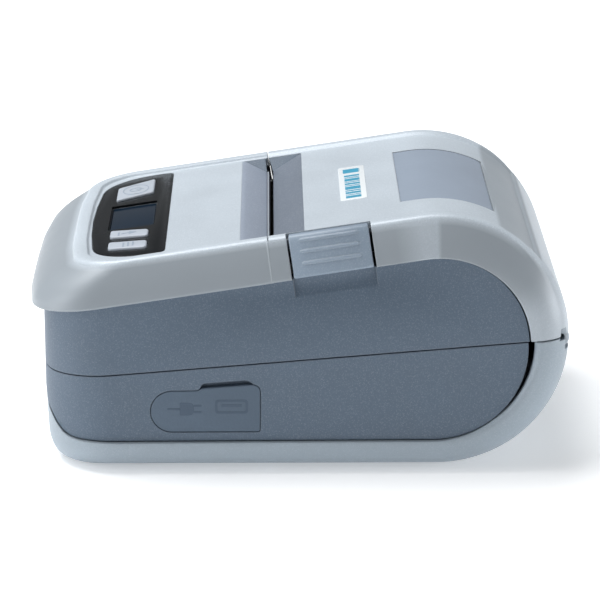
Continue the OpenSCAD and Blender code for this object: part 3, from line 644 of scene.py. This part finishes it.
boolean(plate, block("slot_room", (-35.75, -40.6, 20), (35.75, -30, 33), sl),
        prism("panel_bed", [(x * 1.006, -66 + (y + 66) * 1.012) for x, y in panel], R - 1.25, R + 1, sl),
        *panel_cutters(20, 33, 0.25))
# Band that runs on beside the latch, under the lid's rim
strip = [(39.9, R - 0.62), (40.4, R - 0.62)] + [(x, R + d) for x, d in band_line] + \
        [(44.05, 20.95), (43.9, 20.65), (43.4, 20.45), (42.3, 20.4)] + \
        [(lerp(42.2, 38.6, i / 6), lerp(20.5, 27.6, i / 6)) for i in range(7)]
strip_piece = prism("strip", strip, -34.6, -30.15, along)
join(cover, plate, strip_piece)
# the cover's bands get painted shade
piece(toned(cover), "base", "shell_plastic", "front_cover")

# Gloss panel with its eased edge, the display and the keys
overlay = prism("panel_cover", panel, R - 1.2, FILM_TOP, sl, ease=0.22)
boolean(overlay, *panel_cutters(20, 33, 0.2))
piece(overlay, "base", "panel_gloss", "panel_overlay")
lens_outline = [(-10.35, -71.65), (10.35, -71.65), (10.35, -61.35), (-10.35, -61.35)]
lens = prism("display_pane", rounded(lens_outline, 0.5), 27.9, 28.55, sl, ease=0.12)
piece(lens, "base", "display_glass", "display_lens")


MARK_H = 0.05                        # printed marks stand this much above a face


def ring_mark(name, c, r0, r1, z, a0=0, a1=360, n=28, wide=1.0):
    """A printed ring or part of one."""
    edges = [arc(*c, wide * r, a0, a1, n, r) for r in (r1, r0)]
    rows = [[sl(x, y, z + MARK_H) for x, y in edge] for edge in edges]
    low = [[sl(x, y, z - 0.2) for x, y in edge] for edge in edges]
    return shell(name, rows, low)


def bar(name, x0, y0, x1, y1, z):
    """A printed bar with rounded corners."""
    return prism(name, rounded([(x0, y0), (x1, y0), (x1, y1), (x0, y1)], 0.2, 3), z - 0.2, z + MARK_H, sl)


KEY_TOP = R - 0.12
for key, pts in BUTTONS.items():
    cap = prism(key + "_cap", rounded(pts, 1.0), 27.6, KEY_TOP, sl, ease=0.35, steps=4)
    piece(cap, key, "button_grey", key)
power_x = -21.7
icon = join(ring_mark("power_mark", (power_x, -66.6), 1.25, 1.6, KEY_TOP, 120, 420),
            bar("stroke", power_x - 0.18, -66.5, power_x + 0.18, -64.7, KEY_TOP),
            ring_mark("surround", (power_x, -66.6), 3.0, 3.22, KEY_TOP, wide=1.32))
piece(icon, "power_button", "mark_ink")
icon = join(prism("feed_mark", [(15.8, -66.6), (18.0, -66.6), (16.9, -64.9)],
                  KEY_TOP - 0.2, KEY_TOP + MARK_H, sl),
            bar("stem", 16.7, -68.4, 17.1, -66.5, KEY_TOP), bar("edge", 15.6, -69.2, 18.2, -68.8, KEY_TOP))
piece(icon, "feed_button", "mark_ink")
icon = join(*[bar("menu_mark", 25.0, -66.6 + d, 28.2, -66.2 + d, KEY_TOP) for d in (-1.1, 0, 1.1)])
piece(icon, "menu_button", "mark_ink")

# ---- Paper slot ----
SLOT_HALF = 35.7                     # half of the slot walls' length


def slot_corners(name, body, top, lip, foot):
    """Dark facets that close a wall's two ends; top, lip and foot are places along y."""
    faces = [(0, 1, 3), (1, 2, 3), (0, 3, 4), (3, 2, 4), (0, 4, 2, 1)]
    ends = []
    for x, x_in in ((-35.72, -32.0), (35.72, 32.0)):
        points = [sl(x, top, 29.08), sl(x, lip, 29.08), sl(x, foot, 26.2), sl(x_in, foot, 26.25),
                  sl(x, top, 27.8)]
        ends.append(make(name, points, faces))
    piece(join(*ends), body, "slate_plastic", angle=20)


guide_outline = [(-40.75, 29.1), (-40.2, 29.06), (-39.5, 28.8), (-35.3, 26.6), (-34.95, 26.3),
                 (-34.95, 25.3), (-40.75, 27.6)]
guide = prism("slot_front_wall", guide_outline, -SLOT_HALF, SLOT_HALF, slside)
piece(guide, "base", "funnel_plastic", "exit_guide")
slot_corners("slot_corners", "base", -40.3, -34.9, -34.9)
lip_outline = [(-25.4, 29.1), (-26.0, 29.06), (-26.9, 28.78), (-33.1, 26.55), (-33.4, 26.25),
               (-33.38, 25.6), (-31, 25.1), (-25.4, 27.3)]
lip = prism("slot_rear_wall", lip_outline, -SLOT_HALF, SLOT_HALF, slside)
piece(lip, "lid", "lip_plastic", "lid_front_lip")
slot_corners("slot_corners_rear", "lid", -26.3, -34.0, -33.4)

# ---- Label ----
label = prism("label_film", rounded([(-15, -17.3), (15, -17.3), (15, -11.1), (-15, -11.1)], 0.7, 5),
              R - 0.75, FILM_TOP, sl, ease=0.06)
piece(label, "lid", "label_white", "lid_label")
# A slip of paper with a torn edge, and a row of bars
INK = (FILM_TOP - 0.05, FILM_TOP + 0.02)
torn_slip = [(-12.8, -16.2), (-9.2, -16.2), (-9.2, -12.6), (-9.8, -12.1), (-10.4, -12.6), (-11, -12.1),
             (-11.6, -12.6), (-12.2, -12.1), (-12.8, -12.6)]
slip = prism("label_mark", torn_slip, *INK, sl)
bars = []
x = -7.2
for w in (1.4, 0.6, 2.2, 0.6, 1.4, 0.6, 2.6, 0.9, 1.6, 0.6, 2.0):
    bars.append(prism("bar", [(x, -16), (x + w, -16), (x + w, -12.4), (x, -12.4)], *INK, sl))
    x += w + 0.62
piece(join(slip, *bars), "lid", "label_ink")

# ---- Latch ----
grip_outline = [(38.3, 29.62), (39.4, 29.76), (40.25, 29.72), (40.75, 29.35), (41.25, 28.3), (42.15, 26.2),
                (43.0, 24.0), (43.8, 21.9), (44.08, 21.35), (44.05, 21.0), (43.75, 20.82), (42.5, 20.82),
                (41.9, 22.0), (40.6, 25.2), (38.7, 27.1), (37.95, 28.2), (37.9, 29.2)]
latch = prism("latch_grip", grip_outline, -11.7, -29.65, along)
bevel(latch, 0.3, 2, 50)


RIB_R = 0.34
FACE_TILT = math.atan2(2.2, 6.6)     # how far the latch's face leans from upright


def rib(x, z, y0, y1, n=10):
    """A rounded rib along y on the latch's face."""
    ca, sa = math.cos(FACE_TILT), math.sin(FACE_TILT)
    rings = []
    for y, k in ((y0, 0.25), (y0 + 0.25, 0.75), (y0 + 0.7, 1), (y1 - 0.7, 1), (y1 - 0.25, 0.75), (y1, 0.25)):
        ring = []
        for i in range(2 * n):
            a = math.pi * i / n
            u, v = RIB_R * k * math.cos(a), RIB_R * k * math.sin(a)
            ring.append(sl(x + u * sa + v * ca, y, z - u * ca + v * sa))
        rings.append(ring)
    return loft("rib", rings)


join(latch, *[rib(x, z, -27.4, -14.0) for x, z in ((41.05, 28.7), (42.07, 26.4), (43.03, 23.9))])
join(latch, prism("hook", [(38.4, 28), (36.8, 26.4), (35.9, 22.8), (35.9, 21.4), (37.4, 21.4), (39.8, 26.9)],
                  -22.5, -28, along))
piece(latch, "latch", "latch_grey", "latch_lever")

# ---- Dark bodies ----
SEAM_GAP = 0.14                      # half of the groove between the dark bodies


def wall_ring(name, z0, z1):
    """The outline of the dark bodies as an upright wall."""
    ring = prism(name, plan(42.5, -58.6, 16, 1, 56, 24), z0, z1, flat)
    return boolean(ring, prism("inside", plan(40.5, -56.6, 14, 1, 60, 24), z0 - 1, z1 + 1, flat))


lower = wall_ring("lower_side", 5, 36)
trim = [(-62, 14), (-58.2, 13.95), (-57.3, 13.5), (-56.2, 12.2), (-54.8, 10.3), (-53.4, 8.9), (-51.8, 8.1),
        (-49.5, 7.8)]
lower_outline = trim + arc(30.7, 29.2, 21.2, -90, 4, 40) + \
                [(51.8, seam(51.8) - SEAM_GAP), (-62, seam(-62) - SEAM_GAP)]
boolean(lower, prism("outline", lower_outline, -60, 60, side), op="INTERSECT")
flap_line = arc(-28.3, 14.8, 4.85, 90, 270, 20) + rounded(
    [(-28.0, 9.95), (-8.45, 9.95), (-8.35, 21.25), (-21.6, 20.25), (-22.5, 19.72), (-28.0, 19.66)],
    [0, 0.7, 2.2, 0.6, 0.6, 0], 6)
notch = rounded([(-22.1, 20.1), (-21.4, 21.45), (-11.3, 22.25), (-9.7, 21.1), (-15, 20.4)],
                [0.1, 1.2, 1.2, 0.1, 0.1], 6)


def offset(pts, d):
    """A closed outline moved outwards."""
    n = len(pts)
    area = sum(pts[i - 1][0] * pts[i][1] - pts[i][0] * pts[i - 1][1] for i in range(n))
    s = 1 if area > 0 else -1
    out = []
    for i in range(n):
        t = Vector(pts[(i + 1) % n]) - Vector(pts[i - 1])
        out.append((pts[i][0] + s * t.y / t.length * d, pts[i][1] - s * t.x / t.length * d))
    return out


flap_line = clean(flap_line)
boolean(lower, prism("flap", offset(flap_line, 0.13), 41.1, 50, side),
        prism("inlet", rounded([(-30.4, 11.4), (-10.8, 11.4), (-10.8, 18.4), (-30.4, 18.4)], 1), 39, 42,
              side),
        prism("nail", notch, 40.9, 50, side))
piece(lower, "base", "slate_plastic", "lower_body")
FLAP_FACE = 42.56
flap = prism("flap_skin", flap_line, 41.25, FLAP_FACE, side, ease=0.28, steps=4)
join(flap, *[block("plug_rib", (40.6, y, 12.6), (41.3, y + 1, 17.4)) for y in (-19.2, -16.8, -14.4)])
piece(flap, "port_flap", "flap_rubber", "port_flap")


def flap_mark(name, y0, z0, y1, z1, r, n):
    """A raised patch on the flap."""
    corners = [(y0, z0), (y1, z0), (y1, z1), (y0, z1)]
    return prism(name, rounded(corners, r, n), FLAP_FACE - 0.2, FLAP_FACE + MARK_H, side)


# A plug with its lead and two pins, and a port with its tongue
plug = [flap_mark("flap_mark", -26.6, 13.9, -23.4, 16.9, [0.2, 1.3, 1.3, 0.2], 5),
        flap_mark("lead", -29.4, 15.2, -26.5, 15.6, 0.1, 2)]
plug += [flap_mark("pin", -23.5, z, -21.7, z + 0.45, 0.1, 2) for z in (14.45, 15.95)]
port = flap_mark("port", -18.6, 14.3, -11.2, 17.6, 0.8, 5)
port_hole = rounded([(-18.1, 14.8), (-11.7, 14.8), (-11.7, 17.1), (-18.1, 17.1)], 0.5, 5)
boolean(port, prism("port_hole", port_hole, FLAP_FACE - 1, FLAP_FACE + 1, side))
tongue = flap_mark("tongue", -17.2, 15.9, -12.6, 16.5, 0.1, 2)
piece(join(*plug, port, tongue), "port_flap", "flap_mark")

upper = wall_ring("upper_side", 18, 56)
upper_outline = [(-62, seam(-62) + SEAM_GAP), (51.9, seam(51.9) + SEAM_GAP)] + \
                arc(RY, RZ, 20.4, 2.6, 98.6, 44) + [sl(0, -96, 20.4)[1:]]
boolean(upper, prism("outline", upper_outline, -60, 60, side), op="INTERSECT")
scoop = [[sl(x, y, z) for x, z in arc(47.5, 19.2, 6, 0, 351, 39)] for y in (-30, -11.4)]
boolean(upper, loft("scoop", scoop))
piece(upper, "base", "slate_plastic", "upper_body")

# ---- Light base ----
NOSE_Y = -38                         # where the rounded nose meets the straight run of the base
FRONT_LINE = [(-62, 13.75), (-58.2, 13.65), (-57.5, 13.2), (-56.45, 12.0), (-55.05, 10.1), (-53.6, 8.6),
              (-51.9, 7.8), (-49.5, 7.5)]
SCREWS = [(30.5, -46), (-30.5, -46), (32.5, 0.5), (-32.5, 0.5)]
FEET = [(32, -36), (-32, -36), (28, 26), (-28, 26)]
SCREW_HOLE_R, FOOT_HOLE_R, FOOT_R = 3.0, 3.65, 3.5


def base_profile(inner=False):
    """Half section of the base as (x, height over the full radius)."""
    if inner:
        return [(0, -2), (14, -2), (28, -2)] + quarter(35.4, 5.5, 7.7, 5.7, 90, 12, 12) + \
               [(40.9, -6.8), (40.9, -7.4), (40.9, -8.0), (41.0, -8.2)]
    return [(0, 0), (14, 0), (28, 0)] + quarter(35.4, 8.1, 7.7, 7.7, 90, 12, 12) + \
           [(43.5, -6.6), (43.5, -7.2), (43.2, -7.75), (42.6, -8.15)]


def base_rows():
    """Stations of the base from the nose to its rear edge under the hinge."""
    outer, inner = [], []
    stops = [("run", y) for y in (NOSE_Y, -15, 8)] + [("arc", 3.1 * i) for i in range(30)] + [("arc", 92.5)]
    for kind, v in stops:
        place = (lambda x, d: (x, v, RZ - R - d)) if kind == "run" else (lambda x, d: ro(x, R + d, v))
        outer.append(across(base_profile(), place))
        inner.append(across(base_profile(True), place))
    return outer, inner


def nose_top(y):
    """Height of the base's upper edge, which sweeps up around the front."""
    for (y0, z0), (y1, z1) in zip(FRONT_LINE, FRONT_LINE[1:]):
        if y0 <= y <= y1:
            return z0 + (z1 - z0) * (y - y0) / (y1 - y0)
    return FRONT_LINE[-1][1]


def nose_rows():
    """Rings of the nose from its upper edge down round to the bottom."""
    outer, inner = [], []
    for k in range(12):
        turn = math.radians(9 * max(0, k - 1))
        dx, dy = 8.1 * (1 - math.cos(turn)), 3.6 * (1 - math.cos(turn))
        z = 99 if k == 0 else 0.4 + 7.7 * (1 - math.sin(turn))
        out = plan(43.5 - dx, -58.3 + dy, max(16 - 0.9 * dx, 7), 1, NOSE_Y, 24)
        ins = plan(41.5 - dx, -56.3 + dy, max(14 - 0.9 * dx, 6), 1, NOSE_Y, 24)
        outer.append([(x, y, min(z, nose_top(y))) for x, y in out])
        inner.append([(x, y, min(z + 1.6, nose_top(y))) for x, y in ins])
    return outer, inner


base = shell("base_skin", *base_rows())
cheek = FRONT_LINE + arc(30.7, 29.2, 21.45, -90, 4, 40) + [(53, 60), (-62, 60)]
boolean(base, prism("cheek_left", cheek, -50, -40.4, side), prism("cheek_right", cheek, 40.4, 50, side))
knuckle_x = [(-39.5, -22), (-7, 7), (22, 39.5)]
hatch_hole = ((-27.8, -51.8, -1), (17.8, -8.2, 4))
boolean(base, *[block("knuckle_room", (a, hinge_y, 28.4), (b, 63, 34)) for a, b in knuckle_x],
        *[rod("knuckle_room", *HINGE, KNUCKLE_ROOM, a, b, ease=0.01) for a, b in knuckle_x],
        block("end_left", (-50, 59.0, 30.85), (-39.4, 63, 34)),
        block("end_right", (39.4, 59.0, 30.85), (50, 63, 34)),
        block("edge_left", (-21.99, hinge_y + 0.01, 31.3), (-7.01, 63, 34)),
        block("edge_right", (7.01, hinge_y + 0.01, 31.3), (21.99, 63, 34)),
        block("hatch_hole", *hatch_hole))
join(base, *[rod("knuckle", *HINGE, KNUCKLE_R, a, a + 14.4, 1.0) for a in (-21.7, 7.3)])


def disc(name, c, r, z0, z1, ease=0.0, n=48):
    """A round block about an upright axis."""
    return prism(name, arc(c[0], c[1], r, 0, 360 - 360 / n, n - 1), z0, z1, flat, ease=ease)


def underside_holes(screws, feet):
    return [disc("screw_hole", c, SCREW_HOLE_R, -1, 3) for c in screws] + \
           [disc("foot_hole", c, FOOT_HOLE_R, -1, 1) for c in feet]


boolean(base, *underside_holes(SCREWS, FEET))
nose_floor = prism("nose_floor", plan(35.6, -54.8, 7.2, 1, NOSE_Y + 0.1, 24), 0.4, 2.2, flat)
boolean(nose_floor, block("hatch_hole", *hatch_hole), *underside_holes(SCREWS[:2], FEET[:2]))
join(base, shell("nose", *nose_rows()), nose_floor)
piece(base, "base", "grey_trim", "base_shell")
foot = join(*[disc("foot_pads", c, FOOT_R, 1.0, 0.0, ease=0.25) for c in FEET])
piece(foot, "base", "foot_rubber", "feet")
hatch_outline = [(-27.5, -51.5), (17.5, -51.5), (17.5, -8.5), (-27.5, -8.5)]
door = prism("battery_hatch", rounded(hatch_outline, 1.5, 6), 2.0, 0.4, flat, ease=0.3)
join(door, *[prism("grip", rounded([(-12, y - 0.5), (2, y - 0.5), (2, y + 0.5), (-12, y + 0.5)], 0.4, 4),
                   1.9, 2.5, flat, ease=0.15) for y in (-16, -13, -10)])
piece(door, "battery_door", "grey_trim", "battery_door")


# ---- Carried parts, floor and finish ----
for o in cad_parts.values():
    for s in o.material_slots:
        s.material = MATS[s.material.name.split(".")[0]]

for node, name in (("tear_bar", "bar_steel"), ("latch_pin", "dark_steel")):
    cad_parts[node].material_slots[0].material = MATS[name]

FLOOR, FLOOR_Z = 4000, -0.05
floor = make("floor", [(-FLOOR, -FLOOR, FLOOR_Z), (FLOOR, -FLOOR, FLOOR_Z), (FLOOR, FLOOR, FLOOR_Z),
                       (-FLOOR, FLOOR, FLOOR_Z)], [(0, 1, 2, 3)])
floor.data.materials.append(material("floor_paper", (250, 251, 252), 0.85, 300, 0.02, 0.005, 0.0, 0.1))
paper = floor.data.materials[0].node_tree.nodes["Principled BSDF"]
paper.inputs["Emission Color"].default_value = (1, 1, 1, 1)
paper.inputs["Emission Strength"].default_value = 0.3    # keeps the floor white as in a studio cut-out
